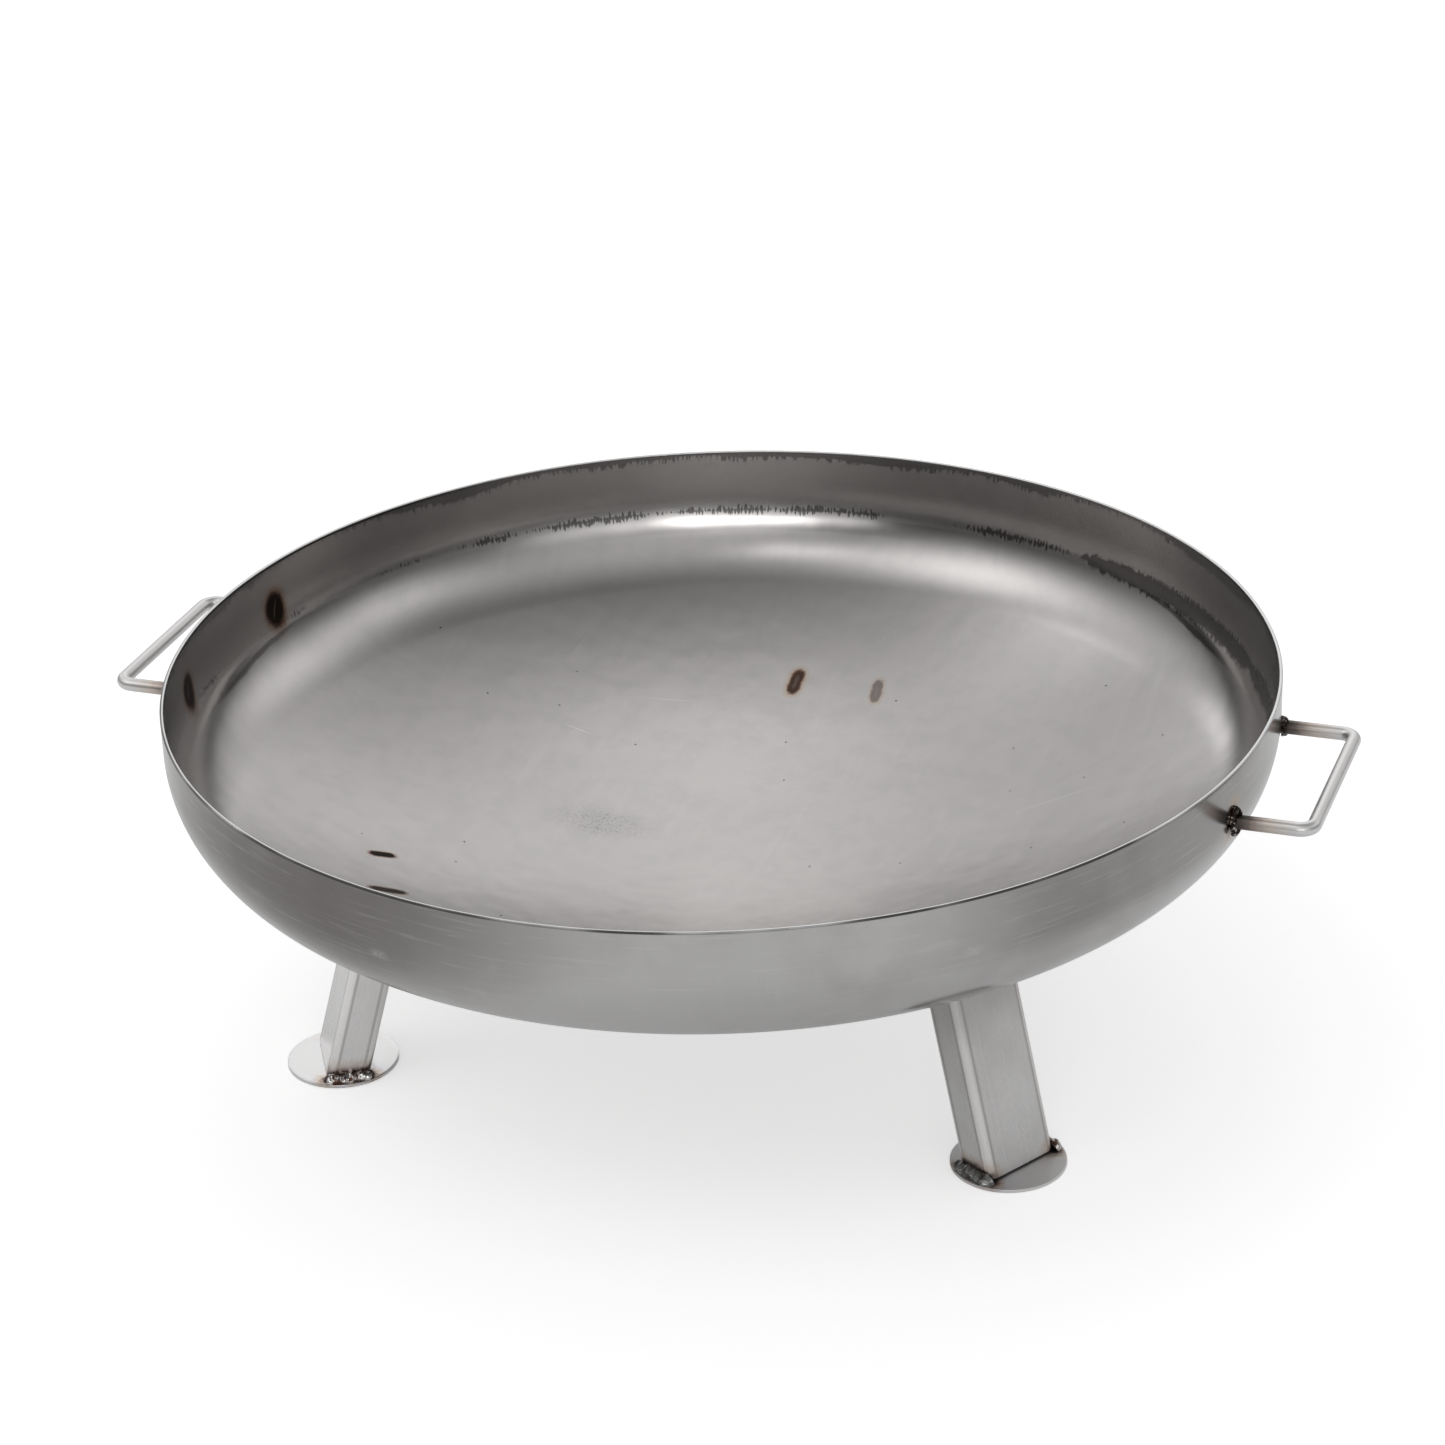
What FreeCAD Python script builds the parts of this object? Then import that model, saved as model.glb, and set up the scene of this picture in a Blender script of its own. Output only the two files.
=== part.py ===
"""Steel fire bowl: a dished head on three splayed tube legs, with two bar handles, all joined by weld beads.

Millimetres, +Z up. The origin is on the ground, on the bowl's axis. The handles lie along X,
and the rear leg points along +Y.
"""

import FreeCAD
import Part
import math
import os

Vector = FreeCAD.Vector
UP = Vector(0, 0, 1)
ORIGIN = Vector(0, 0, 0)

# Bowl: a torispherical dished head, its crown radius equal to its diameter and its knuckle a tenth of it.
BOWL_DIAMETER = 800.0
BOWL_WALL = 2.5
RIM_HEIGHT = 288.0
FLANGE_HEIGHT = 28.0
RIM_EDGE_BREAK = 0.5

# Legs: rectangular tube, its wide side facing outwards, leaning out from the bowl.
LEG_ANGLES = {"rear": 90.0, "left": 210.0, "right": 330.0}
TUBE_WIDTH = 62.0
TUBE_DEPTH = 31.0
TUBE_WALL = 2.5
TUBE_CORNER = 6.0
LEG_LEAN = 15.5
FOOT_DISTANCE = 293.0

# Foot plates: round discs under the tubes.
FOOT_DIAMETER = 82.0
FOOT_THICKNESS = 2.5
FOOT_EDGE_BREAK = 0.4

# Handles: round bar bent into a U, its ends butted against the bowl wall.
HANDLE_SIDES = {"left": -1, "right": 1}
BAR_DIAMETER = 10.0
HANDLE_WIDTH = 151.0
HANDLE_REACH = 446.0
HANDLE_HEIGHT = 251.0
HANDLE_BEND = 10.0

# Weld beads.
LEG_BEAD_RADIUS = 6.0
FOOT_BEAD_RADIUS = 5.5
HANDLE_BEAD_SIZE = 6.0
BEAD_SIDES = {"a": -1, "b": 1}

# Worked out from the driving dimensions.
RIM_RADIUS = BOWL_DIAMETER / 2
CROWN_OUTER = BOWL_DIAMETER
KNUCKLE_OUTER = BOWL_DIAMETER / 10
KNUCKLE_CENTRE = Vector(RIM_RADIUS - KNUCKLE_OUTER, 0, RIM_HEIGHT - FLANGE_HEIGHT)
CROWN_CENTRE = KNUCKLE_CENTRE + Vector(
    -KNUCKLE_CENTRE.x,
    0,
    math.sqrt((CROWN_OUTER - KNUCKLE_OUTER) ** 2 - KNUCKLE_CENTRE.x ** 2),
)
LEAN = math.radians(LEG_LEAN)
LEG_AXIS = Vector(-math.sin(LEAN), 0, math.cos(LEAN))
FOOT_CENTRE = Vector(FOOT_DISTANCE, 0, 0)
BIG = 4 * BOWL_DIAMETER
TOUCH = 0.01


def polar(centre, radius, angle):
    """A point of the XZ plane at this angle, in radians, from +X around a centre."""
    return centre + Vector(radius * math.cos(angle), 0, radius * math.sin(angle))


def head_profile(inset):
    """Edges of the head's profile in the XZ plane, from the pole to the rim, inset by this much."""
    crown = CROWN_OUTER - inset
    knuckle = KNUCKLE_OUTER - inset
    meeting = KNUCKLE_CENTRE - CROWN_CENTRE
    meeting_angle = math.atan2(meeting.z, meeting.x)
    pole = polar(CROWN_CENTRE, crown, -math.pi / 2)
    crown_end = polar(CROWN_CENTRE, crown, meeting_angle)
    knuckle_end = polar(KNUCKLE_CENTRE, knuckle, 0)
    rim = Vector(knuckle_end.x, 0, RIM_HEIGHT)
    crown_middle = polar(CROWN_CENTRE, crown, (meeting_angle - math.pi / 2) / 2)
    knuckle_middle = polar(KNUCKLE_CENTRE, knuckle, meeting_angle / 2)
    return [
        Part.Arc(pole, crown_middle, crown_end).toShape(),
        Part.Arc(crown_end, knuckle_middle, knuckle_end).toShape(),
        Part.makeLine(knuckle_end, rim),
    ]


def top_edges(shape, height):
    """The edges of a shape that lie at its top, which is at this height."""
    return [edge for edge in shape.Edges if edge.BoundBox.ZMin > height - TOUCH]


def turned(outer, inner_end, inner):
    """The solid turned about Z from two profiles joined at the rim, or from one closed onto the axis."""
    outer_start = outer[0].valueAt(outer[0].FirstParameter)
    outer_end = outer[-1].valueAt(outer[-1].LastParameter)
    closing = [Part.makeLine(outer_end, inner_end)]
    axis_point = Vector(0, 0, inner_end.z)
    if inner:
        axis_point = inner[0].valueAt(inner[0].FirstParameter)
    closing.append(Part.makeLine(axis_point, outer_start))
    wire = Part.Wire(Part.__sortEdges__(outer + closing + inner))
    return Part.Face(wire).revolve(ORIGIN, UP, 360)


def make_bowl():
    """The dished head, with its cut rim edges broken."""
    outer = head_profile(0)
    inner = head_profile(BOWL_WALL)
    bowl = turned(outer, Vector(RIM_RADIUS - BOWL_WALL, 0, RIM_HEIGHT), inner)
    return bowl.makeChamfer(RIM_EDGE_BREAK, top_edges(bowl, RIM_HEIGHT))


def make_bowl_block():
    """The bowl's outer shape, filled in: what the pieces outside it are cut to."""
    return turned(head_profile(0), Vector(0, 0, RIM_HEIGHT), [])


def place(shape, origin, normal, across):
    """The shape moved so that its Z lies along normal and its Y along across."""
    along = across.cross(normal)
    matrix = FreeCAD.Matrix(
        along.x, across.x, normal.x, origin.x,
        along.y, across.y, normal.y, origin.y,
        along.z, across.z, normal.z, origin.z,
        0, 0, 0, 1,
    )
    moved = shape.copy()
    moved.Placement = FreeCAD.Placement(matrix)
    return moved


def half_space(origin, normal):
    """A block that fills everything on the normal's side of a plane."""
    block = Part.makeBox(BIG, BIG, BIG, Vector(-BIG / 2, -BIG / 2, 0))
    return place(block, origin, normal, Vector(0, 1, 0))


def tube_block(inset):
    """A long solid bar of the leg tube's section, inset by this much, on the leg's axis."""
    depth = TUBE_DEPTH - 2 * inset
    width = TUBE_WIDTH - 2 * inset
    block = Part.makeBox(depth, width, RIM_HEIGHT, Vector(-depth / 2, -width / 2, 0))
    upright = [edge for edge in block.Edges if edge.BoundBox.ZLength > RIM_HEIGHT / 2]
    bar = block.makeFillet(TUBE_CORNER - inset, upright)
    start = FOOT_CENTRE - LEG_AXIS * TUBE_DEPTH
    return place(bar, start, LEG_AXIS, Vector(0, 1, 0))


def leg_top():
    """Where the leg's axis meets the bowl, and the bowl's outward normal there."""
    from_centre = FOOT_CENTRE - CROWN_CENTRE
    half = from_centre.dot(LEG_AXIS)
    rest = from_centre.dot(from_centre) - CROWN_OUTER ** 2
    distance = -half - math.sqrt(half ** 2 - rest)
    point = FOOT_CENTRE + LEG_AXIS * distance
    return point, (point - CROWN_CENTRE).normalize()


def make_leg(bowl_block):
    """A tube cut level at the foot and fitted to the bowl at the top, pointing along +X."""
    tube = tube_block(0).cut(tube_block(TUBE_WALL))
    tube = tube.cut(half_space(Vector(0, 0, FOOT_THICKNESS), -UP))
    return lowest(tube.cut(bowl_block))


def make_foot_plate():
    """A disc with its upper edge broken, pointing along +X."""
    disc = Part.makeCylinder(FOOT_DIAMETER / 2, FOOT_THICKNESS, FOOT_CENTRE)
    return disc.makeChamfer(FOOT_EDGE_BREAK, top_edges(disc, FOOT_THICKNESS))


def make_bead(middle, direction, length, radius):
    """A round-ended bead, this long overall, about a line."""
    half = direction * (length / 2 - radius)
    body = Part.makeCylinder(radius, 2 * half.Length, middle - half, direction)
    for end in (middle - half, middle + half):
        body = body.fuse(Part.makeSphere(radius, end))
    return body.removeSplitter()


def largest(shape):
    """The largest solid of a shape."""
    return max(shape.Solids, key=lambda solid: solid.Volume)


def lowest(shape):
    """The lowest solid of a shape."""
    return min(shape.Solids, key=lambda solid: solid.CenterOfMass.z)


def make_leg_bead(side, bowl_block):
    """The fillet between one narrow side of the tube and the bowl."""
    point, normal = leg_top()
    slope = Vector(-normal.z, 0, normal.x)
    edge_length = TUBE_DEPTH / slope.dot(Vector(LEG_AXIS.z, 0, -LEG_AXIS.x))
    middle = point + Vector(0, side * TUBE_WIDTH / 2, 0)
    bead = make_bead(middle, slope, edge_length + LEG_BEAD_RADIUS, LEG_BEAD_RADIUS)
    return largest(bead.cut(bowl_block).cut(tube_block(0)))


def make_foot_bead(side):
    """The fillet between one narrow side of the tube and the foot plate."""
    middle = FOOT_CENTRE + LEG_AXIS * (FOOT_THICKNESS / LEG_AXIS.z)
    middle += Vector(0, side * TUBE_WIDTH / 2, 0)
    edge_length = TUBE_DEPTH / LEG_AXIS.z
    bead = make_bead(middle, Vector(1, 0, 0), edge_length + FOOT_BEAD_RADIUS, FOOT_BEAD_RADIUS)
    above_plate = bead.cut(half_space(Vector(0, 0, FOOT_THICKNESS), -UP))
    return largest(above_plate.cut(tube_block(0)))


def make_handle_bar():
    """The U of bar at the +X side, its ends run on into the bowl."""
    half = HANDLE_WIDTH / 2
    bend = HANDLE_BEND
    start = KNUCKLE_CENTRE.x
    z = HANDLE_HEIGHT
    slant = bend * (1 - math.sqrt(0.5))
    corners = [
        Part.makeLine(Vector(start, -half, z), Vector(HANDLE_REACH - bend, -half, z)),
        Part.Arc(
            Vector(HANDLE_REACH - bend, -half, z),
            Vector(HANDLE_REACH - slant, -half + slant, z),
            Vector(HANDLE_REACH, -half + bend, z),
        ).toShape(),
        Part.makeLine(Vector(HANDLE_REACH, -half + bend, z), Vector(HANDLE_REACH, half - bend, z)),
        Part.Arc(
            Vector(HANDLE_REACH, half - bend, z),
            Vector(HANDLE_REACH - slant, half - slant, z),
            Vector(HANDLE_REACH - bend, half, z),
        ).toShape(),
        Part.makeLine(Vector(HANDLE_REACH - bend, half, z), Vector(start, half, z)),
    ]
    section = Part.Wire(Part.makeCircle(BAR_DIAMETER / 2, Vector(start, -half, z), Vector(1, 0, 0)))
    return Part.Wire(corners).makePipeShell([section], True, False)


def make_handle_bead(side, bowl_block):
    """The fillet ring where one end of the bar meets the bowl wall."""
    half = HANDLE_WIDTH / 2
    wall_x = math.sqrt(RIM_RADIUS ** 2 - half ** 2)
    root = Vector(wall_x - HANDLE_BEAD_SIZE, side * half, HANDLE_HEIGHT)
    bar_radius = BAR_DIAMETER / 2
    flare = Part.makeCone(
        bar_radius + 2 * HANDLE_BEAD_SIZE, bar_radius, 2 * HANDLE_BEAD_SIZE, root, Vector(1, 0, 0)
    )
    drum = Part.makeCylinder(bar_radius + HANDLE_BEAD_SIZE, BIG, root, Vector(1, 0, 0))
    bar = Part.makeCylinder(bar_radius, BIG, root - Vector(BIG / 2, 0, 0), Vector(1, 0, 0))
    return largest(flare.common(drum).cut(bar).cut(bowl_block))


def rotated(shape, angle):
    """A copy turned about the bowl's axis."""
    copy = shape.copy()
    copy.rotate(ORIGIN, UP, angle)
    return copy


def build():
    """Every node of the assembly, by name."""
    bowl_block = make_bowl_block()
    nodes = {"bowl": make_bowl()}
    leg = make_leg(bowl_block)
    foot_plate = make_foot_plate()
    leg_beads = {key: make_leg_bead(side, bowl_block) for key, side in BEAD_SIDES.items()}
    foot_beads = {key: make_foot_bead(side) for key, side in BEAD_SIDES.items()}
    for place_name, angle in LEG_ANGLES.items():
        nodes[f"leg_{place_name}"] = rotated(leg, angle)
        nodes[f"foot_plate_{place_name}"] = rotated(foot_plate, angle)
        for key in BEAD_SIDES:
            nodes[f"leg_{place_name}_bowl_weld_{key}"] = rotated(leg_beads[key], angle)
            nodes[f"leg_{place_name}_foot_weld_{key}"] = rotated(foot_beads[key], angle)
    handle = largest(make_handle_bar().cut(bowl_block))
    handle_beads = {key: make_handle_bead(side, bowl_block) for key, side in BEAD_SIDES.items()}
    for place_name, side in HANDLE_SIDES.items():
        angle = 0 if side > 0 else 180
        nodes[f"handle_{place_name}"] = rotated(handle, angle)
        for key in BEAD_SIDES:
            nodes[f"handle_{place_name}_weld_{key}"] = rotated(handle_beads[key], angle)
    return nodes


def main():
    os.makedirs("parts", exist_ok=True)
    for name, shape in build().items():
        if not shape.isValid() or not shape.Solids:
            raise ValueError(f"{name} is not a valid solid")
        shape.exportStep(f"parts/{name}.step")
        box = shape.BoundBox
        print(
            f"{name}: {len(shape.Solids)} solid, {shape.Volume / 1000:.2f} cm3, "
            f"x {box.XMin:.1f}..{box.XMax:.1f}, y {box.YMin:.1f}..{box.YMax:.1f}, "
            f"z {box.ZMin:.1f}..{box.ZMax:.1f}"
        )


main()
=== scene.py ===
import math

import bmesh
import bpy
from mathutils import Matrix, Vector, noise


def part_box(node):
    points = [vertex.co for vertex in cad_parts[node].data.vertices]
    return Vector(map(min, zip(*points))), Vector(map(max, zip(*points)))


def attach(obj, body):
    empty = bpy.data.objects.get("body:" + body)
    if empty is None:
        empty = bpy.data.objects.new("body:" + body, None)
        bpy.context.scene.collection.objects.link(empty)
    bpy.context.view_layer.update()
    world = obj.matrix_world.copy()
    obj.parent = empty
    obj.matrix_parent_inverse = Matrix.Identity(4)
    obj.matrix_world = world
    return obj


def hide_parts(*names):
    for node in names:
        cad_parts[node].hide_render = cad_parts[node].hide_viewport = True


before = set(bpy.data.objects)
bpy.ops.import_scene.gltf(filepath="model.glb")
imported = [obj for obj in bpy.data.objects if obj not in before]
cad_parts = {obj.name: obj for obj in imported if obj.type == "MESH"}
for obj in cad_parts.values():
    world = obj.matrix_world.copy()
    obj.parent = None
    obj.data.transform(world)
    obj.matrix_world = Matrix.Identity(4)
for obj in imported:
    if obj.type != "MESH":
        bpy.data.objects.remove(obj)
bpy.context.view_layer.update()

# A bare steel fire bowl on three welded legs. Metres, +Z up, origin on the ground on the bowl's axis.
# Sizes that the frame gives are read from it; the rest repeat the design's.

scene = bpy.context.scene
UP = Vector((0, 0, 1))
MM = 0.001

# Bowl
bowl_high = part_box("bowl")[1]
RIM_RADIUS = bowl_high.x
RIM_HEIGHT = bowl_high.z
BOWL_WALL = 2.5 * MM
FLANGE = 28 * MM
KNUCKLE = RIM_RADIUS / 5
CROWN = RIM_RADIUS * 2
RIM_ROUNDING = 0.6 * MM
BOWL_SEGMENTS = 360
CROWN_POINTS = 90
KNUCKLE_POINTS = 40
FLANGE_STEPS = 12
# The angle at the crown's centre between the pole and the first point beside it
POLE_ANGLE = 0.002
KNUCKLE_X = RIM_RADIUS - KNUCKLE
KNUCKLE_Z = RIM_HEIGHT - FLANGE
CROWN_Z = KNUCKLE_Z + math.sqrt((CROWN - KNUCKLE) ** 2 - KNUCKLE_X ** 2)
BOWL_FLOOR = CROWN_Z - CROWN

# Foot plates and legs
plate_low, plate_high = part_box("foot_plate_rear")
FOOT_RADIUS = plate_high.x
FOOT_DISTANCE = (plate_low.y + plate_high.y) / 2
FOOT_THICKNESS = plate_high.z
LEG_ANGLES = {"rear": 90, "left": 210, "right": 330}
TUBE_WIDTH = 62 * MM
TUBE_DEPTH = 31 * MM
TUBE_WALL = 2.5 * MM
TUBE_CORNER = 6 * MM
LEG_LEAN = math.radians(15.5)
LEG_GAP = {"rear": 1.0 * MM, "left": 1.8 * MM, "right": 1.5 * MM}
LEG_AXIS = Vector((-math.sin(LEG_LEAN), 0, math.cos(LEG_LEAN)))
LEG_DEPTH_AXIS = Vector((math.cos(LEG_LEAN), 0, math.sin(LEG_LEAN)))
LEG_WIDTH_AXIS = Vector((0, 1, 0))
# The middle of the seams between a tube and its plate, from the bowl's axis, and half their length
FOOT_SEAM = FOOT_DISTANCE - FOOT_THICKNESS * math.tan(LEG_LEAN)
FOOT_SEAM_HALF = TUBE_DEPTH / 2 / LEG_AXIS.z
CORNER_POINTS = 9
LEG_STEPS = 48
PLATE_SEGMENTS = 144
PLATE_RINGS = 24
# About the tube's length, for the pattern on its skin, and how near a face counts as on it
SKIN_LENGTH = 0.12
ON_FACE = 0.01 * MM
# How far the weld on the left leg's hidden side stops short of the tube's outward corner
WELD_CUT = {("left", -1): 12 * MM}

# Handles
bar_low, bar_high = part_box("handle_right")
BAR_RADIUS = (bar_high.z - bar_low.z) / 2
HANDLE_HEIGHT = (bar_high.z + bar_low.z) / 2
HANDLE_REACH = bar_high.x - BAR_RADIUS
HANDLE_HALF = bar_high.y - BAR_RADIUS
HANDLE_BEND = 10 * MM
HANDLE_ANGLES = {"left": 180, "right": 0}
BAR_SIDES = 32
ARM_STEPS = 24
BEND_POINTS = 15
HALF_GRIP_STEPS = 15
# How far, in mm, each handle's weld heaps up above and below its bar
HANDLE_HEAPS = {("right", "a"): 4.6, ("right", "b"): 2.0, ("left", "a"): 3.6, ("left", "b"): 4.2}

# Camera, worked out from the photograph's view, its angles in degrees
CAMERA_DISTANCE = 3.049
CAMERA_AZIMUTH = 20.25
CAMERA_ELEVATION = 30.05
CAMERA_PITCH = 26.0
CAMERA_ROLL = -2.27
CAMERA_LENS = 101.3


# ---- mesh helpers

def add_piece(name, vertices, faces, material, node):
    """A smooth-shaded mesh that rides with the object and stands for a node of the frame."""
    mesh = bpy.data.meshes.new(name)
    mesh.from_pydata(vertices, [], faces)
    mesh.validate()
    face_outwards(mesh)
    mesh.materials.append(material)
    mesh.polygons.foreach_set("use_smooth", [True] * len(mesh.polygons))
    mesh.update()
    piece = bpy.data.objects.new(name, mesh)
    scene.collection.objects.link(piece)
    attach(piece, "root")
    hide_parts(node)
    return piece


def face_outwards(mesh):
    """Turns every face of a closed mesh to the outside."""
    work = bmesh.new()
    work.from_mesh(mesh)
    bmesh.ops.recalc_face_normals(work, faces=work.faces)
    work.to_mesh(mesh)
    work.free()


def store(piece, name, values):
    """Keeps one number per vertex on a piece, for its material to read."""
    layer = piece.data.attributes.new(name, "FLOAT", "POINT")
    layer.data.foreach_set("value", values)


def ring_faces(rings, points, closed_along=False, closed_round=True):
    """Quads between neighbouring rings of points."""
    faces = []
    last_ring = rings if closed_along else rings - 1
    last_point = points if closed_round else points - 1
    for i in range(last_ring):
        a = i * points
        b = ((i + 1) % rings) * points
        for j in range(last_point):
            k = (j + 1) % points
            faces.append((a + j, a + k, b + k, b + j))
    return faces


def close_turning(vertices, segments, points, bottom, top):
    """Faces of a profile turned about an axis. It adds the two points on the axis that close them."""
    faces = ring_faces(segments, points, closed_along=True, closed_round=False)
    pole = len(vertices)
    vertices += [bottom, top]
    for i in range(segments):
        a = i * points
        b = ((i + 1) % segments) * points
        faces.append((pole, a, b))
        faces.append((pole + 1, b + points - 1, a + points - 1))
    return faces


def arc(centre, radius, start, end, count):
    """Points (x, z) on an arc, its angles in radians."""
    step = (end - start) / (count - 1)
    return [
        (centre[0] + radius * math.cos(angle), centre[1] + radius * math.sin(angle))
        for angle in (start + i * step for i in range(count))
    ]


def turned(degrees, point):
    """A point turned about the bowl's axis."""
    return Matrix.Rotation(math.radians(degrees), 3, "Z") @ Vector(point)


# ---- bowl

def shell_line(inset):
    """The head's line from near the pole to just under the rim, this far inside its outer face."""
    meeting = math.atan2(KNUCKLE_Z - CROWN_Z, KNUCKLE_X)
    crown = arc((0, CROWN_Z), CROWN - inset, POLE_ANGLE - math.pi / 2, meeting, CROWN_POINTS)
    knuckle = arc((KNUCKLE_X, KNUCKLE_Z), KNUCKLE - inset, meeting, 0, KNUCKLE_POINTS)
    x = RIM_RADIUS - inset
    flange = [(x, KNUCKLE_Z + FLANGE * i / FLANGE_STEPS) for i in range(1, FLANGE_STEPS)]
    return crown + knuckle[1:] + flange


def bowl_profile():
    """The closed profile, from the pole outside, over the rounded rim, to the pole inside."""
    outer = shell_line(0)
    inner = shell_line(BOWL_WALL)
    top = RIM_HEIGHT - RIM_ROUNDING
    rim_outer = arc((RIM_RADIUS - RIM_ROUNDING, top), RIM_ROUNDING, 0, math.pi / 2, 5)
    inside = RIM_RADIUS - BOWL_WALL + RIM_ROUNDING
    rim_inner = arc((inside, top), RIM_ROUNDING, math.pi / 2, math.pi, 5)
    return outer + rim_outer + rim_inner + inner[::-1]


def sheet_wave(angle, z):
    """How far the pressed sheet strays from round, in metres: more towards the rim."""
    height = max(0.0, (z - KNUCKLE_Z + KNUCKLE) / (KNUCKLE + FLANGE))
    where = Vector((2.2 * math.cos(angle), 2.2 * math.sin(angle), 6 * z))
    return 0.9 * MM * height * noise.noise(where)


def make_bowl(outside, inside, edge):
    """The pressed head, with a material for each side of the sheet and one for its cut edge."""
    profile = bowl_profile()
    vertices = []
    radii = []
    for i in range(BOWL_SEGMENTS):
        angle = 2 * math.pi * i / BOWL_SEGMENTS
        for x, z in profile:
            r = x + sheet_wave(angle, z)
            vertices.append((r * math.cos(angle), r * math.sin(angle), z))
            radii.append(x)
    poles = ((0, 0, BOWL_FLOOR), (0, 0, BOWL_FLOOR + BOWL_WALL))
    faces = close_turning(vertices, BOWL_SEGMENTS, len(profile), *poles)
    piece = add_piece("dished_bowl", vertices, faces, outside, "bowl")
    store(piece, "radius", radii + [0.0, 0.0])
    piece.data.materials.append(inside)
    piece.data.materials.append(edge)
    rim_low = RIM_HEIGHT - RIM_ROUNDING - 0.1 * MM
    for polygon in piece.data.polygons:
        middle = polygon.center
        if middle.z > rim_low:
            polygon.material_index = 2
        elif polygon.normal.dot(Vector((0, 0, CROWN_Z)) - middle) > 0:
            polygon.material_index = 1


# ---- legs and feet

def tube_section(inset):
    """Points (depth, width) round the tube's section, this far inside its outer face."""
    radius = TUBE_CORNER - inset
    half_depth = TUBE_DEPTH / 2 - TUBE_CORNER
    half_width = TUBE_WIDTH / 2 - TUBE_CORNER
    points = []
    for corner, (sx, sy) in enumerate(((1, 1), (-1, 1), (-1, -1), (1, -1))):
        start = corner * math.pi / 2
        centre = (sx * half_depth, sy * half_width)
        points += arc(centre, radius, start, start + math.pi / 2, CORNER_POINTS)
        points += side_points(points[-1], corner, half_depth, half_width)
    return points


def side_points(start, corner, half_depth, half_width):
    """Evenly spaced points along the flat side that follows a corner."""
    length = 2 * (half_depth if corner % 2 == 0 else half_width)
    count = round(length / (3 * MM))
    directions = ((-1, 0), (0, -1), (1, 0), (0, 1))
    dx, dy = directions[corner]
    steps = [length * k / count for k in range(1, count)]
    return [(start[0] + dx * step, start[1] + dy * step) for step in steps]


def along_leg(section_point):
    """Where the line through a section point, along the leg, leaves the plate and meets the bowl."""
    foot = Vector((FOOT_DISTANCE, 0, 0))
    start = foot + LEG_DEPTH_AXIS * section_point[0] + LEG_WIDTH_AXIS * section_point[1]
    start += LEG_AXIS * ((FOOT_THICKNESS - start.z) / LEG_AXIS.z)
    from_centre = start - Vector((0, 0, CROWN_Z))
    along = from_centre.dot(LEG_AXIS)
    rest = from_centre.dot(from_centre) - CROWN ** 2
    return start, -along - math.sqrt(along ** 2 - rest)


def end_gap(place, depth):
    """How far the tube's outward wall stops short of the plate and of the bowl: it isn't welded there."""
    return LEG_GAP[place] * min(1.0, max(0.0, (depth + TUBE_DEPTH / 4) / (TUBE_DEPTH / 2)))


def leg_stations():
    """Parts of the leg's length, from 0 at the foot to 1 at the bowl, closer together near its ends."""
    return [0.5 - 0.5 * math.cos(math.pi * i / LEG_STEPS) for i in range(LEG_STEPS + 1)]


def make_leg(place, material):
    """A length of tube, its ends cut to the plate and to the bowl and their edges a little rounded."""
    angle = LEG_ANGLES[place]
    vertices = []
    rounding = 0.35 * MM
    outer = tube_section(0)
    inner = tube_section(TUBE_WALL)
    eased = tube_section(rounding)
    rings = [(eased, 0.0, 0.0)]
    rings += [(outer, t, rounding * (1 - 2 * t)) for t in leg_stations()]
    rings += [(eased, 1.0, 0.0)]
    rings += [(inner, 1.0, 0.0), (inner, 0.0, 0.0)]
    for section, t, nudge in rings:
        for point in section:
            start, length = along_leg(point)
            gap = end_gap(place, point[0])
            vertices.append(turned(angle, start + LEG_AXIS * (gap + (length - 2 * gap) * t + nudge)))
    faces = ring_faces(len(rings), len(outer), closed_along=True)
    piece = add_piece(f"tube_leg_{place}", vertices, faces, material, f"leg_{place}")
    store_skin(piece, [t for section, t, nudge in rings], outer)
    weld_distances(piece, leg_seams(place))


def store_skin(piece, stations, section):
    """Stores where each vertex is on the tube's unrolled skin, how far from where a corner begins (no
    more than the corner's radius, for the painted shade lines), and whether it is on a corner, for the
    painted highlight."""
    round_tube = [0.0]
    for here, there in zip(section, section[1:]):
        round_tube.append(round_tube[-1] + math.dist(here, there))
    skin = piece.data.attributes.new("skin", "FLOAT_VECTOR", "POINT")
    skins = [number for t in stations for way in round_tube for number in (way, t * SKIN_LENGTH, 0.0)]
    skin.data.foreach_set("vector", skins)
    corners = []
    painted_corner_highlight = []
    for depth, width in section:
        past_depth = abs(depth) - TUBE_DEPTH / 2 + TUBE_CORNER
        past_width = abs(width) - TUBE_WIDTH / 2 + TUBE_CORNER
        corners.append(min(abs(past_depth), abs(past_width)))
        # 1 on the rounded corners, where a highlight is painted
        painted_corner_highlight.append(1.0 if max(past_depth, past_width) < TUBE_CORNER - ON_FACE else 0.0)
    store(piece, "corner_distance", corners * len(stations))
    store(piece, "painted_corner_highlight", painted_corner_highlight * len(stations))


def foot_seam(place, sign):
    """The ends of the seam between a leg's narrow side and its plate."""
    angle = LEG_ANGLES[place]
    side = sign * TUBE_WIDTH / 2
    cut = WELD_CUT.get((place, sign), 0.0)
    return (
        turned(angle, (FOOT_SEAM - FOOT_SEAM_HALF, side, FOOT_THICKNESS)),
        turned(angle, (FOOT_SEAM + FOOT_SEAM_HALF - cut, side, FOOT_THICKNESS)),
    )


def leg_seams(place):
    """The ends of a leg's four seams: two on its plate and two on the bowl."""
    angle = LEG_ANGLES[place]
    seams = []
    for sign in (-1, 1):
        seams.append(foot_seam(place, sign))
        side = sign * TUBE_WIDTH / 2
        near = bowl_point(leg_top_radius() - TUBE_DEPTH / 2, side)
        far = bowl_point(leg_top_radius() + TUBE_DEPTH / 2, side)
        seams.append((turned(angle, near), turned(angle, far)))
    return seams


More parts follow.
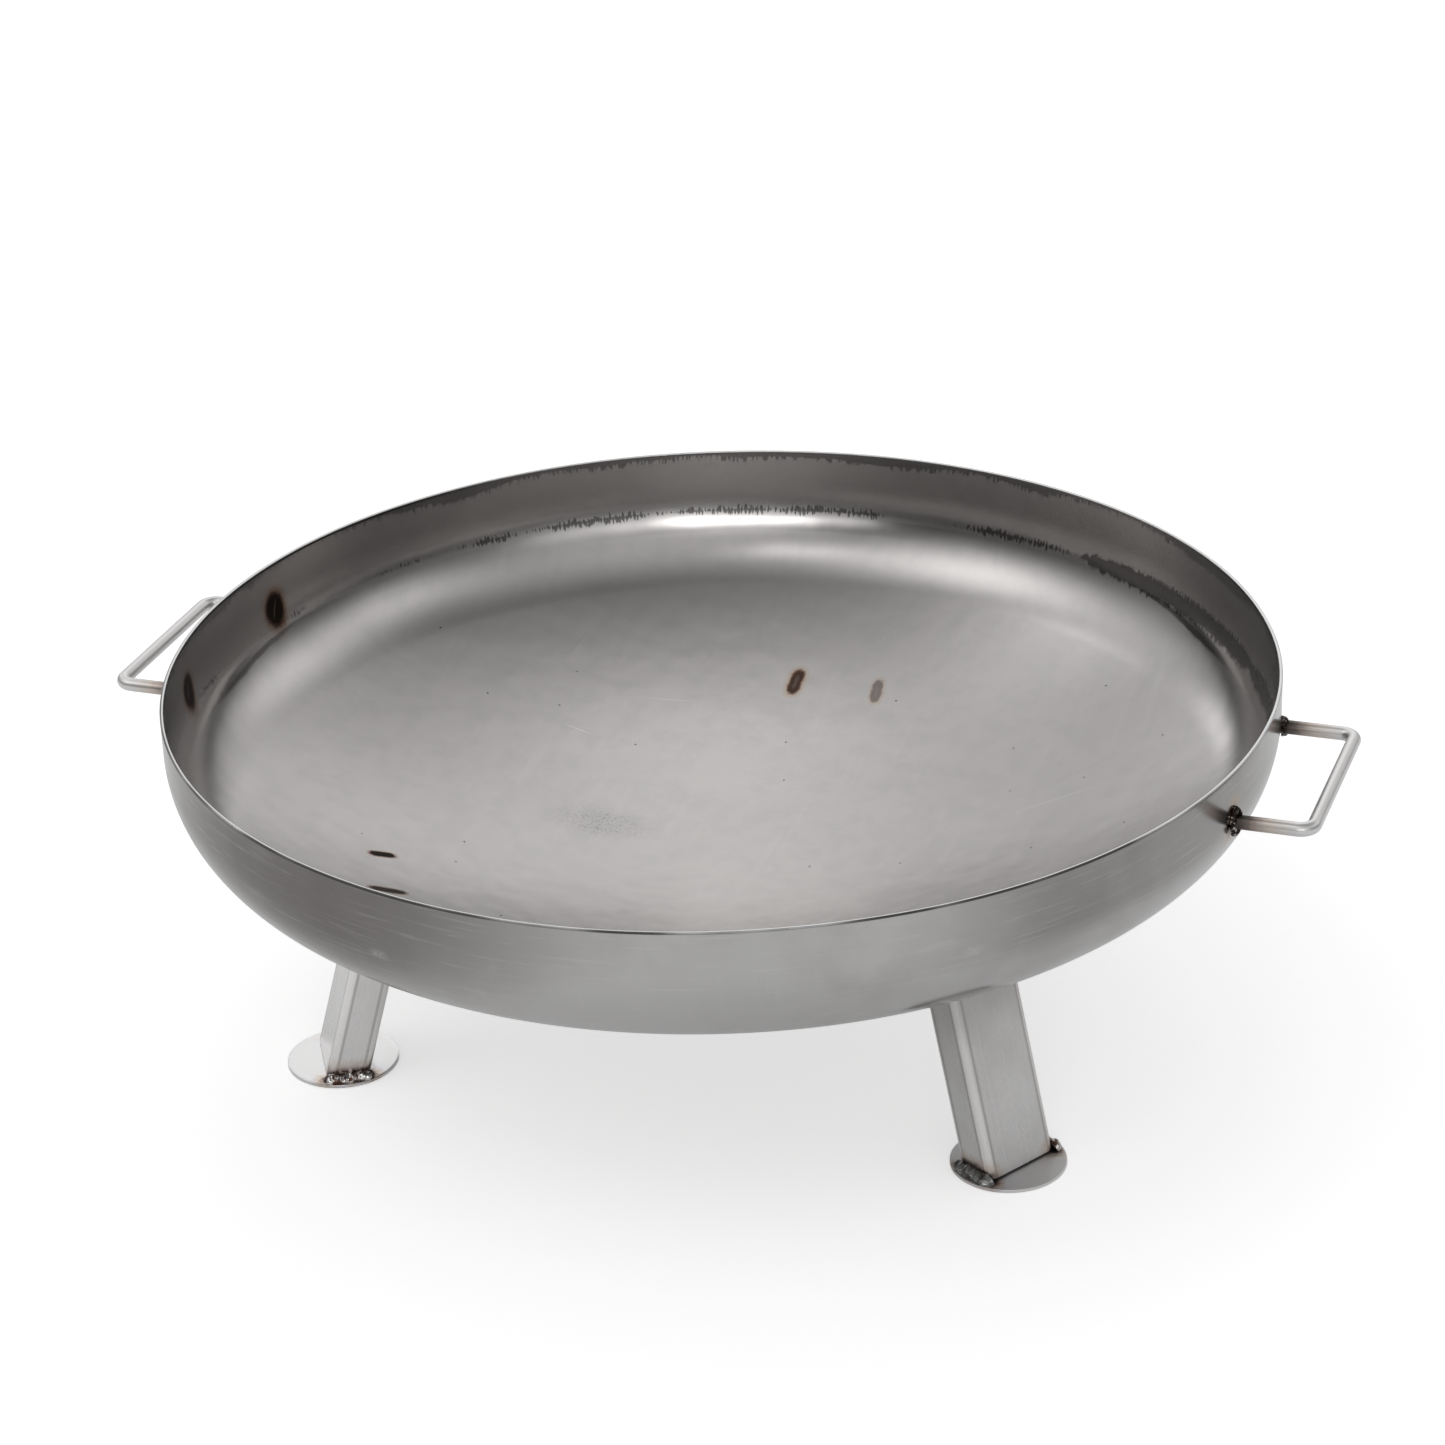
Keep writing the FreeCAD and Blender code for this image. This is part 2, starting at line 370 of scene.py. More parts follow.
def make_foot_plate(place, material):
    """A disc cut from plate, its edges a little rounded."""
    angle = LEG_ANGLES[place]
    rounding = 0.4 * MM
    top = FOOT_THICKNESS
    radii = [FOOT_RADIUS * i / PLATE_RINGS for i in range(1, PLATE_RINGS)]
    profile = [(radius, 0.0) for radius in radii]
    profile += arc((FOOT_RADIUS - rounding, rounding), rounding, -math.pi / 2, 0, 4)
    profile += arc((FOOT_RADIUS - rounding, top - rounding), rounding, 0, math.pi / 2, 4)
    profile += [(radius, top) for radius in reversed(radii)]
    centre = Vector((FOOT_DISTANCE, 0, 0))
    vertices = []
    for i in range(PLATE_SEGMENTS):
        turn = 2 * math.pi * i / PLATE_SEGMENTS
        for x, z in profile:
            vertices.append(turned(angle, centre + Vector((x * math.cos(turn), x * math.sin(turn), z))))
    poles = (turned(angle, centre), turned(angle, centre + UP * top))
    faces = close_turning(vertices, PLATE_SEGMENTS, len(profile), *poles)
    piece = add_piece(f"foot_disc_{place}", vertices, faces, material, f"foot_plate_{place}")
    weld_distances(piece, [foot_seam(place, sign) for sign in (-1, 1)])


# ---- handles

def handle_route():
    """Points of the bar's centre line on the +X side, from wall to wall."""
    wall = math.sqrt(RIM_RADIUS ** 2 - HANDLE_HALF ** 2) - 1.5 * MM
    corner = HANDLE_REACH - HANDLE_BEND
    arm = [(wall + (corner - wall) * i / ARM_STEPS, -HANDLE_HALF) for i in range(ARM_STEPS)]
    bend = arc((corner, -HANDLE_HALF + HANDLE_BEND), HANDLE_BEND, -math.pi / 2, 0, BEND_POINTS)
    grip_end = HANDLE_BEND - HANDLE_HALF
    grip = [(HANDLE_REACH, grip_end * (1 - i / HALF_GRIP_STEPS)) for i in range(1, HALF_GRIP_STEPS)]
    half = arm + bend + grip
    middle = [(HANDLE_REACH, 0.0)]
    return half + middle + [(x, -y) for x, y in reversed(half)]


def make_handle(side, material):
    """A bar bent into a U, its ends a little way into the wall."""
    turn = HANDLE_ANGLES[side]
    route = handle_route()
    vertices = []
    for i, (x, y) in enumerate(route):
        ahead = route[min(i + 1, len(route) - 1)]
        behind = route[max(i - 1, 0)]
        run = Vector((ahead[0] - behind[0], ahead[1] - behind[1], 0)).normalized()
        across = run.cross(UP)
        for k in range(BAR_SIDES):
            a = 2 * math.pi * k / BAR_SIDES
            offset = across * math.cos(a) + UP * math.sin(a)
            vertices.append(turned(turn, Vector((x, y, HANDLE_HEIGHT)) + offset * BAR_RADIUS))
    faces = ring_faces(len(route), BAR_SIDES)
    last = (len(route) - 1) * BAR_SIDES
    faces.append(tuple(range(BAR_SIDES)))
    faces.append(tuple(last + k for k in reversed(range(BAR_SIDES))))
    piece = add_piece(f"handle_bar_{side}", vertices, faces, material, f"handle_{side}")
    ends = [turned(turn, (route[0][0], y, HANDLE_HEIGHT)) for y in (-HANDLE_HALF, HANDLE_HALF)]
    weld_distances(piece, [(end, end) for end in ends])


# ---- weld beads

# Points across a bead, steps along a straight one and round one on a handle, and how far a straight one
# runs past the tube at each end
BEAD_POINTS = 14
BEAD_STEPS = 90
RING_STEPS = 120
BEAD_OVERRUN = 2.5 * MM
# How far apart a straight bead's ripples are, and how deep its edges are in the metal
RIPPLE = 2.2 * MM
BURIED = 0.4 * MM


def make_bead(name, node, material, stations, turn, seed, lump=0.8 * MM, closed=False):
    """A bead laid along a seam. Each station is (seam point, way along one surface, way along the other,
    reach along the first, reach along the second, length so far), before a turn about the bowl's axis."""
    vertices = []
    for *vectors, reach_a, reach_b, length in stations:
        seam, way_a, way_b = [turned(turn, vector) for vector in vectors]
        out = (way_a + way_b).normalized()
        vertices.append(seam - out * BURIED)
        ripples = abs(math.sin(math.pi * length / RIPPLE))
        for k in range(BEAD_POINTS):
            t = k / (BEAD_POINTS - 1)
            angle = t * math.pi / 2
            bulge = math.sin(math.pi * t)
            point = seam + way_a * reach_a * math.cos(angle) + way_b * reach_b * math.sin(angle)
            rough = noise.noise(point / (5.5 * MM) + Vector((seed, 0, 0)))
            fine = noise.noise(point / (2.0 * MM) + Vector((0, seed, 0)))
            swell = lump * (rough + 0.35 * fine + 0.2 * ripples - 0.1)
            vertices.append(point + out * bulge * swell - out * (1 - bulge) * BURIED)
    points = BEAD_POINTS + 1
    faces = ring_faces(len(stations), points, closed_along=closed)
    if not closed:
        last = (len(stations) - 1) * points
        faces.append(tuple(reversed(range(points))))
        faces.append(tuple(last + k for k in range(points)))
    add_piece(name, vertices, faces, material, node)


def tapered(t, ends=0.16):
    """1 along a bead's middle, falling round to a small value at its ends."""
    edge = min(t, 1 - t) / ends
    return 0.12 + 0.88 * math.sqrt(1 - (1 - min(edge, 1)) ** 2)


def foot_bead(place, key, sign, material, seed, lump):
    """The bead between a leg's narrow side and its plate."""
    reach = FOOT_SEAM_HALF + BEAD_OVERRUN
    stations = []
    for i in range(BEAD_STEPS + 1):
        t = i / BEAD_STEPS
        x = FOOT_SEAM - reach + (2 * reach - WELD_CUT.get((place, sign), 0.0)) * t
        seam = (x, sign * TUBE_WIDTH / 2, FOOT_THICKNESS)
        size = tapered(t) * (1 + 0.22 * noise.noise(Vector((seed, 9 * t, 0))))
        stations.append((seam, (0, sign, 0), LEG_AXIS, 7.5 * MM * size, 6.0 * MM * size, 2 * reach * t))
    name = f"foot_bead_{place}_{key}"
    make_bead(name, f"leg_{place}_foot_weld_{key}", material, stations, LEG_ANGLES[place], seed, lump)


def bowl_point(x, y, inset=0.0):
    """The point of the bowl's crown above this place, this far inside its outer face."""
    return Vector((x, y, CROWN_Z - math.sqrt((CROWN - inset) ** 2 - x * x - y * y)))


def leg_top_radius():
    """How far from the bowl's axis the leg's own axis meets the bowl."""
    start, length = along_leg((0, 0))
    return (start + LEG_AXIS * length).x


def bowl_bead(place, key, sign, material, seed):
    """The bead between a leg's narrow side and the bowl."""
    middle = leg_top_radius()
    reach = TUBE_DEPTH / 2 + BEAD_OVERRUN
    stations = []
    for i in range(BEAD_STEPS + 1):
        t = i / BEAD_STEPS
        x = middle + reach * (2 * t - 1) * 0.97
        seam = bowl_point(x, sign * TUBE_WIDTH / 2)
        out = (seam - Vector((0, 0, CROWN_Z))).normalized()
        away = Vector((0, sign, 0))
        away = (away - out * away.dot(out)).normalized()
        size = tapered(t) * (1 + 0.2 * noise.noise(Vector((seed, 9 * t, 0))))
        stations.append((seam, away, -LEG_AXIS, 7.0 * MM * size, 6.5 * MM * size, 2 * reach * t))
    name = f"bowl_bead_{place}_{key}"
    make_bead(name, f"leg_{place}_bowl_weld_{key}", material, stations, LEG_ANGLES[place], seed)


def handle_bead(side, key, sign, material, seed):
    """A ring round the end of the bar, heaped above and below it."""
    turn = HANDLE_ANGLES[side]
    y = sign * HANDLE_HALF
    wall = math.sqrt(RIM_RADIUS ** 2 - y * y)
    outward = Vector((wall, y, 0)).normalized()
    stations = []
    for i in range(RING_STEPS):
        a = 2 * math.pi * i / RING_STEPS
        around = Vector((0, math.cos(a), math.sin(a)))
        contact = Vector((wall, y, HANDLE_HEIGHT)) + around * BAR_RADIUS
        contact.x = math.sqrt(RIM_RADIUS ** 2 - contact.y ** 2)
        away = (around - outward * around.dot(outward)).normalized()
        heap = abs(math.sin(a)) ** 4
        size = 1 + 0.35 * noise.noise(Vector((seed, 1.3 * math.cos(a), 1.3 * math.sin(a))))
        up_wall = (1.2 + HANDLE_HEAPS[side, key] * heap) * MM * size
        along_bar = (3.2 + 1.6 * heap) * MM * size
        stations.append((contact, away, (1, 0, 0), up_wall, along_bar, 0.0))
    name = f"handle_bead_{side}_{key}"
    make_bead(name, f"handle_{side}_weld_{key}", material, stations, turn, seed, 1.3 * MM, closed=True)


# ---- wiring helpers

# A mix node has sockets for numbers and vectors too: these are its factor, its two colours and its result
MIX_INPUTS = (0, 6, 7)
MIX_RESULT = 2


class Wiring:
    """Adds and joins the nodes of a material or world. A value is a socket or a plain number, colour or
    vector."""

    def __init__(self, owner):
        owner.use_nodes = True
        self.owner = owner
        self.nodes = owner.node_tree.nodes
        self.links = owner.node_tree.links

    def feed(self, socket, value):
        if isinstance(value, bpy.types.NodeSocket):
            self.links.new(value, socket)
        else:
            socket.default_value = value

    def place(self):
        """The point on the object, in metres."""
        return self.nodes.new("ShaderNodeTexCoord").outputs["Object"]

    def stored(self, name, output="Fac"):
        node = self.nodes.new("ShaderNodeAttribute")
        node.attribute_name = name
        return node.outputs[output]

    def math(self, operation, a, b=0.0, clamp=False):
        node = self.nodes.new("ShaderNodeMath")
        node.operation = operation
        node.use_clamp = clamp
        self.feed(node.inputs[0], a)
        self.feed(node.inputs[1], b)
        return node.outputs[0]

    def plus(self, a, b):
        return self.math("ADD", a, b)

    def minus(self, a, b):
        return self.math("SUBTRACT", a, b)

    def times(self, a, b):
        return self.math("MULTIPLY", a, b)

    def facing(self, angle, degrees):
        """1 where an angle about the bowl's axis is this one, falling to -1 on the far side."""
        return self.math("COSINE", self.minus(angle, math.radians(degrees)))

    def vector(self, operation, a, b=(0, 0, 0), output="Vector"):
        node = self.nodes.new("ShaderNodeVectorMath")
        node.operation = operation
        self.feed(node.inputs[0], a)
        self.feed(node.inputs[1], b)
        return node.outputs[output]

    def split(self, vector):
        node = self.nodes.new("ShaderNodeSeparateXYZ")
        self.feed(node.inputs[0], vector)
        return node.outputs[0], node.outputs[1], node.outputs[2]

    def join(self, x, y, z):
        node = self.nodes.new("ShaderNodeCombineXYZ")
        for socket, value in zip(node.inputs, (x, y, z)):
            self.feed(socket, value)
        return node.outputs[0]

    def local(self, place, centre, turn, half):
        """The point as seen from a mark: turned about Z, and 1 long at the mark's half sizes."""
        node = self.nodes.new("ShaderNodeMapping")
        node.vector_type = "TEXTURE"
        self.feed(node.inputs["Vector"], place)
        node.inputs["Location"].default_value = centre
        node.inputs["Rotation"].default_value = turn if isinstance(turn, tuple) else (0, 0, turn)
        node.inputs["Scale"].default_value = half
        return node.outputs[0]

    def distance(self, place, centre, half, turn=0.0):
        """How far the point is from a mark's centre: 1 at the mark's half sizes."""
        return self.vector("LENGTH", self.local(place, centre, turn, half), output="Value")

    def step(self, value, low, high, start=0.0, end=1.0):
        """A smooth step from start to end as the value goes from low to high."""
        node = self.nodes.new("ShaderNodeMapRange")
        node.interpolation_type = "SMOOTHSTEP"
        self.feed(node.inputs["Value"], value)
        for name, number in (("From Min", low), ("From Max", high), ("To Min", start), ("To Max", end)):
            self.feed(node.inputs[name], number)
        return node.outputs["Result"]

    def noise(self, place, scale, detail=2.0, roughness=0.5, stretch=None):
        if stretch:
            place = self.vector("MULTIPLY", place, stretch)
        node = self.nodes.new("ShaderNodeTexNoise")
        self.feed(node.inputs["Vector"], place)
        node.inputs["Scale"].default_value = scale
        node.inputs["Detail"].default_value = detail
        node.inputs["Roughness"].default_value = roughness
        return node.outputs["Fac"]

    def cells(self, place, scale, dimensions="3D"):
        """How far the middle of the nearest of many scattered cells is, and a colour that is its own."""
        node = self.nodes.new("ShaderNodeTexVoronoi")
        node.voronoi_dimensions = dimensions
        self.feed(node.inputs["Vector"], place)
        node.inputs["Scale"].default_value = scale
        return node.outputs["Distance"], node.outputs["Color"]

    def unevenness(self, place, scale, reach):
        """Noise that strays up to half this reach either way."""
        return self.times(self.minus(self.noise(place, scale, 3), 0.5), reach)

    def shaken(self, place, scale, reach):
        """The point moved about a little, so that marks laid there get ragged outlines."""
        shift = self.unevenness(place, scale, reach)
        return self.vector("ADD", place, self.join(shift, shift, shift))

    def mix(self, amount, a, b):
        """Goes from colour a to colour b as the amount goes from 0 to 1."""
        node = self.nodes.new("ShaderNodeMix")
        node.data_type = "RGBA"
        for socket, value in zip(MIX_INPUTS, (amount, a, b)):
            self.feed(node.inputs[socket], value)
        return node.outputs[MIX_RESULT]

    def ramp(self, value, stops):
        """Colour and cover read along a row of (position, colour, cover)."""
        node = self.nodes.new("ShaderNodeValToRGB")
        elements = node.color_ramp.elements
        elements[0].position = stops[0][0]
        elements[1].position = stops[-1][0]
        for position, colour, cover in stops[1:-1]:
            elements.new(position).color = (*colour, cover)
        elements[0].color = (*stops[0][1], stops[0][2])
        elements[len(stops) - 1].color = (*stops[-1][1], stops[-1][2])
        self.feed(node.inputs[0], value)
        return node.outputs["Color"], node.outputs["Alpha"]

    def dress(self, colour, roughness, height=None, depth=0.0):
        """The finished material: this colour and roughness and, given a height, bumps of this depth."""
        shader = self.nodes["Principled BSDF"]
        self.feed(shader.inputs["Base Color"], colour)
        self.feed(shader.inputs["Roughness"], roughness)
        if height is not None:
            node = self.nodes.new("ShaderNodeBump")
            self.feed(node.inputs["Height"], height)
            node.inputs["Distance"].default_value = depth
            self.feed(shader.inputs["Normal"], node.outputs["Normal"])
        return self.owner


def grey(value, warmth=0.0):
    """A steel grey; a little warmth lifts the red and lowers the blue."""
    return (value * (1 + warmth), value, value * (1 - warmth / 2), 1.0)


def steel(name):
    """The wiring of a new metal material."""
    wire = Wiring(bpy.data.materials.new(name))
    wire.nodes["Principled BSDF"].inputs["Metallic"].default_value = 1.0
    return wire


# ---- heat marks

SOOT = (0.016, 0.010, 0.007)
BROWN = (0.060, 0.026, 0.012)
RUST = (0.190, 0.090, 0.040)
STRAW = (0.420, 0.300, 0.190)
SCALE_GREY = (0.095, 0.066, 0.052)

# Colour from the middle of a weld's mark on the far side of the sheet (0) to past its edge (1)
BURNT_THROUGH = [
    (0.0, SOOT, 1.0), (0.46, SOOT, 1.0), (0.57, BROWN, 0.9), (0.68, RUST, 0.6), (1.0, STRAW, 0.0),
]
BURNT_RING = [
    (0.0, SCALE_GREY, 0.95), (0.10, SCALE_GREY, 0.95), (0.24, BROWN, 0.95), (0.44, BROWN, 0.92),
    (0.54, RUST, 0.75), (0.66, STRAW, 0.45), (1.0, STRAW, 0.0),
]
# Where along a row of colours a mark's half size comes
MARK_EDGE = 0.6

# Colour from a bead (0) to as far away as its heat has tinted the metal (1)
BESIDE_BEAD = [
    (0.0, SOOT, 0.97), (0.16, SOOT, 0.93), (0.32, BROWN, 0.8), (0.46, RUST, 0.55), (0.62, STRAW, 0.4),
    (1.0, STRAW, 0.0),
]
TUBE_TINT = 16 * MM
PLATE_TINT = 11 * MM
BAR_TINT = 44 * MM


def heat_mark(wire, colour, place, centre, turn, half, stops, depth=1.0):
    """Lays one mark, an oval of these half sizes with blunt ends, over a colour."""
    along, across, through = wire.split(wire.local(place, centre, turn, half))
    blunt = wire.join(wire.times(along, along), across, through)
    away = wire.vector("LENGTH", blunt, output="Value")
    tint, cover = wire.ramp(wire.times(away, MARK_EDGE), stops)
    return wire.mix(wire.times(cover, depth), colour, tint)


def heat_beside(wire, colour, reach):
    """Lays the heat colours beside a piece's own welds over a colour."""
    away = wire.plus(wire.stored("weld_distance"), wire.unevenness(wire.place(), 260, 7 * MM))
    tint, cover = wire.ramp(wire.math("DIVIDE", away, reach, clamp=True), BESIDE_BEAD)
    return wire.mix(cover, colour, tint)


def weld_distances(piece, seams):
    """Stores how far each vertex is from the nearest of some seams, given as (start, end) pairs."""
    values = []
    for vertex in piece.data.vertices:
        nearest = 1.0
        for start, end in seams:
            run = end - start
            t = max(0.0, min(1.0, (vertex.co - start).dot(run) / max(run.dot(run), 1e-9)))
            nearest = min(nearest, (vertex.co - start - run * t).length)
        values.append(nearest)
    store(piece, "weld_distance", values)


def handle_roots(reach):
    """Where the handles' four ends are, this far from the bowl's middle along X."""
    return [(side * reach, end * HANDLE_HALF, HANDLE_HEIGHT) for side in (-1, 1) for end in (-1, 1)]


# ---- marks on the bowl

# Heights of the dashes inside the wall, and of the burnished band below them
DASH_HEIGHT = KNUCKLE_Z - 21.5 * MM
BURNISHED_HEIGHT = KNUCKLE_Z - 31.5 * MM

# Half sizes of the marks from a handle's weld, inside and outside, and of the bared streak across the first
HANDLE_SPOT = (20 * MM, 11 * MM, 14 * MM)
HANDLE_TINT = (20 * MM, 8.5 * MM, 15 * MM)
BARE_STREAK = (20 * MM, 1.0 * MM, 9 * MM)
BARE_TILT = (math.radians(-24), 0, 0)

# Marks in the bowl above each leg's two welds: distance from the leg's middle and shift outwards, half
# length and half width, all in mm, twist in degrees, and depth of colour
LEG_SPOTS = {
    ("rear", -1): (35, 3, 13, 4.6, 7, 0.70), ("rear", 1): (31.6, 3, 14.5, 5.8, 0, 1.0),
    ("left", -1): (33, -2.5, 9.5, 3.6, 5, 1.0), ("left", 1): (24, 0, 13, 3.6, 0, 0.95),
    ("right", -1): (33, 0, 13, 4.4, -6, 0.9), ("right", 1): (33, 0, 13, 4.2, 4, 0.9),
}
LEG_TINT = (23 * MM, 11 * MM, 30 * MM)

# Scratches in the bowl: x and y in mm, direction in degrees, half length in mm, and tone
SCRATCHES = [
    (-175, 149, -3, 16, 0.75), (-206, 240, 80, 24, 0.30), (230, 155, 29, 75, 0.30), (140, 98, 72, 14, 0.28),
    (215, 120, 20, 60, 0.62), (-252, 12, 55, 7, 0.25), (-300, -20, 70, 10, 0.30), (285, 60, 40, 26, 0.27),
    (-120, 210, 15, 30, 0.62), (60, 40, 112, 20, 0.36), (-60, -60, 8, 26, 0.60), (150, -20, 65, 15, 0.3),
]

# A soft dark smudge on the bowl's floor, pale ones outside (degrees round and height), and a fleck of
# scale below the right handle's far weld
SMUDGE = (-0.119, 0.048, 0)
PALE_SMUDGES = [(313, KNUCKLE_Z - 10 * MM), (255, KNUCKLE_Z - 20 * MM)]
SPECK = (0.3993, -0.0215, 0.2435)


def sheet_tone(wire, place, tone, warmth):
    """Rolled sheet: slow cloudy changes of tone, a fine grain and faint rolling lines."""
    cloud = wire.noise(place, 6, 3)
    grain = wire.noise(place, 1400, 1)
    lines = wire.noise(place, 1, 2, stretch=(160, 7, 7))
    colour = wire.mix(cloud, grey(tone * 0.93, warmth), grey(tone * 1.07, warmth))
    colour = wire.mix(wire.times(grain, 0.22), colour, grey(tone * 0.72, warmth))
    return wire.mix(wire.step(lines, 0.56, 0.72, 0.0, 0.05), colour, grey(tone * 1.35, warmth))


def wall_scale(wire, colour, z, angle):
    """Mill scale left on the inside of the wall, but not at the back."""
    wall = wire.step(z, KNUCKLE_Z - 30 * MM, KNUCKLE_Z - 10 * MM)
    cover = wire.step(wire.facing(angle, 105), 0.40, 0.88, 0.60, 0.0)
    return wire.mix(wire.times(wall, cover), colour, grey(0.225, 0.05))


def rim_scale(wire, colour, x, z, angle, ticks):
    """Darker scale just under the rim, with a ragged lower edge, and black beside the handles."""
    slow = wire.noise(wire.join(angle, 0.0, 0.0), 2.3, 3)
    depth = wire.step(slow, 0.35, 0.72, 1.0 * MM, 11.0 * MM)
    depth = wire.plus(depth, wire.step(ticks, 0.42, 0.68, 0.0, 4.5 * MM))
    cap = wire.step(wire.minus(z, wire.minus(RIM_HEIGHT, depth)), -0.5 * MM, 0.5 * MM)
    colour = wire.mix(wire.times(cap, 0.62), colour, grey(0.085, 0.05))
    ends = wire.step(wire.math("ABSOLUTE", x), RIM_RADIUS * 0.675, RIM_RADIUS * 0.85)
    top = wire.step(z, RIM_HEIGHT - 3.2 * MM, RIM_HEIGHT - 1.8 * MM)
    return wire.mix(wire.times(wire.times(ends, top), 0.85), colour, grey(0.03, 0.05))


def dashes(wire, colour, z, angle, ticks):
    """Dark broken dashes where the wall meets the knuckle, heavier on the right."""
    heavy = wire.step(wire.facing(angle, 30), 0.70, 0.97)
    runs = wire.noise(wire.join(angle, 3.0, 0.0), 5.5, 4, 0.6)
    runs = wire.plus(runs, wire.times(heavy, 0.20))
    runs = wire.plus(runs, wire.step(wire.facing(angle, 90), 0.45, 0.80, 0.0, 0.11))
    tallest = wire.step(heavy, 0.0, 1.0, 3.6 * MM, 8.5 * MM)
    height = wire.times(wire.step(runs, 0.50, 0.72), tallest)
    height = wire.plus(height, wire.step(ticks, 0.35, 0.7, -3.2 * MM, 1.2 * MM))
    off = wire.math("ABSOLUTE", wire.minus(z, DASH_HEIGHT))
    dash = wire.step(wire.minus(height, off), -0.6 * MM, 0.8 * MM)
    return wire.mix(wire.times(dash, 0.78), colour, grey(0.055, 0.06))


def burnt_spots(wire, colour, place):
    """Marks that the welds on the outside have burnt through to the inside."""
    shaken = wire.shaken(place, 330, 3.0 * MM)
    for spot in handle_roots(RIM_RADIUS - BOWL_WALL - 7 * MM):
        colour = heat_mark(wire, colour, shaken, spot, 0.0, HANDLE_SPOT, BURNT_THROUGH)
        bare = wire.distance(shaken, spot, BARE_STREAK, BARE_TILT)
        colour = wire.mix(wire.step(bare, 0.6, 1.1, 0.35, 0.0), colour, grey(0.16, 0.2))
    for (leg, sign), (across, outward, reach, wide, twist, depth) in LEG_SPOTS.items():
        point = bowl_point(leg_top_radius() + outward * MM, sign * across * MM, BOWL_WALL)
        spot = tuple(turned(LEG_ANGLES[leg], point))
        turn = math.radians(LEG_ANGLES[leg] + twist)
        half = (reach * MM, wide * MM, 20 * MM)
        stops = BURNT_RING if leg == "rear" else BURNT_THROUGH
        colour = heat_mark(wire, colour, shaken, spot, turn, half, stops, depth)
    return colour


def scratches(wire, colour, plan):
    for x, y, degrees, reach, tone in SCRATCHES:
        half = (reach * MM, 0.35 * MM, 1.0)
        away = wire.distance(plan, (x * MM, y * MM, 0), half, math.radians(degrees))
        colour = wire.mix(wire.step(away, 0.3, 1.0, 0.5, 0.0), colour, grey(tone, 0.02))
    return colour


def pits(wire, colour, plan, z):
    """Small black pits in some of the cells of a pattern, on the floor only."""
    away, chance = wire.cells(plan, 17, "2D")
    chosen = wire.step(wire.split(chance)[0], 0.62, 0.66)
    chosen = wire.times(chosen, wire.step(z, KNUCKLE_Z - 60 * MM, KNUCKLE_Z - 50 * MM, 1.0, 0.0))
    pit = wire.step(away, 0.008, 0.016, 1.0, 0.0)
    return wire.mix(wire.times(chosen, pit), colour, grey(0.05, 0.1))


def floor_smudge(wire, colour, plan, place):
    away = wire.distance(plan, SMUDGE, (50 * MM, 28 * MM, 1.0), math.radians(8))
    dust = wire.step(wire.noise(place, 620, 2), 0.53, 0.66, 0.22, 0.97)
    smudge = wire.times(wire.step(away, 0.2, 1.0, 0.55, 0.0), dust)
    return wire.mix(smudge, colour, grey(0.17, -0.01))


def painted_outside_shade(wire, colour, z, angle, off_centre, blotch):
    """Painted shade outside: darker reflections painted into the colour at the front left, leaning with
    height, and below the rim on the right.
    """
    lean = wire.step(z, KNUCKLE_Z - 70 * MM, KNUCKLE_Z + 10 * MM, math.radians(-142), math.radians(-124))
    side = wire.math("COSINE", wire.minus(angle, lean))
    front_left = wire.times(wire.step(side, 0.66, 0.99, 0.0, 0.95), off_centre)
    right = wire.step(wire.facing(angle, -18), 0.78, 0.97, 0.0, 0.60)
    right = wire.times(right, wire.step(z, KNUCKLE_Z - 35 * MM, KNUCKLE_Z - 8 * MM))
    uneven = wire.times(wire.minus(blotch, 0.5), 0.30)
    scale = wire.math("ADD", wire.math("MAXIMUM", front_left, right), uneven, clamp=True)
    return wire.mix(scale, colour, grey(0.15, 0.06))


def outside_rubs(wire, colour, place, z, angle, off_centre):
    """Bright rubs that run round the bowl, and softer wiped patches."""
    rubs = wire.noise(wire.join(angle, z, 0.0), 1, 4, 0.7, stretch=(5, 330, 1))
    rubs = wire.times(wire.step(rubs, 0.52, 0.74, 0.0, 0.22), off_centre)
    colour = wire.mix(rubs, colour, grey(0.62, 0.02))
    wipe = wire.noise(place, 1, 3, 0.6, stretch=(34, 34, 11))
    return wire.mix(wire.step(wipe, 0.64, 0.82, 0.0, 0.22), colour, grey(0.62, 0.0))


def tinted_by_welds(wire, colour, place):
    """Heat colours outside, round the ends of the handles and the tops of the legs."""
    shaken = wire.shaken(place, 240, 5 * MM)
    for spot in handle_roots(math.sqrt(RIM_RADIUS ** 2 - HANDLE_HALF ** 2)):
        colour = heat_mark(wire, colour, shaken, spot, 0.0, HANDLE_TINT, BESIDE_BEAD)
    for degrees in LEG_ANGLES.values():
        for sign in (-1, 1):
            spot = tuple(turned(degrees, bowl_point(leg_top_radius(), sign * TUBE_WIDTH / 2)))
            colour = heat_mark(wire, colour, shaken, spot, math.radians(degrees), LEG_TINT, BESIDE_BEAD)
    return colour


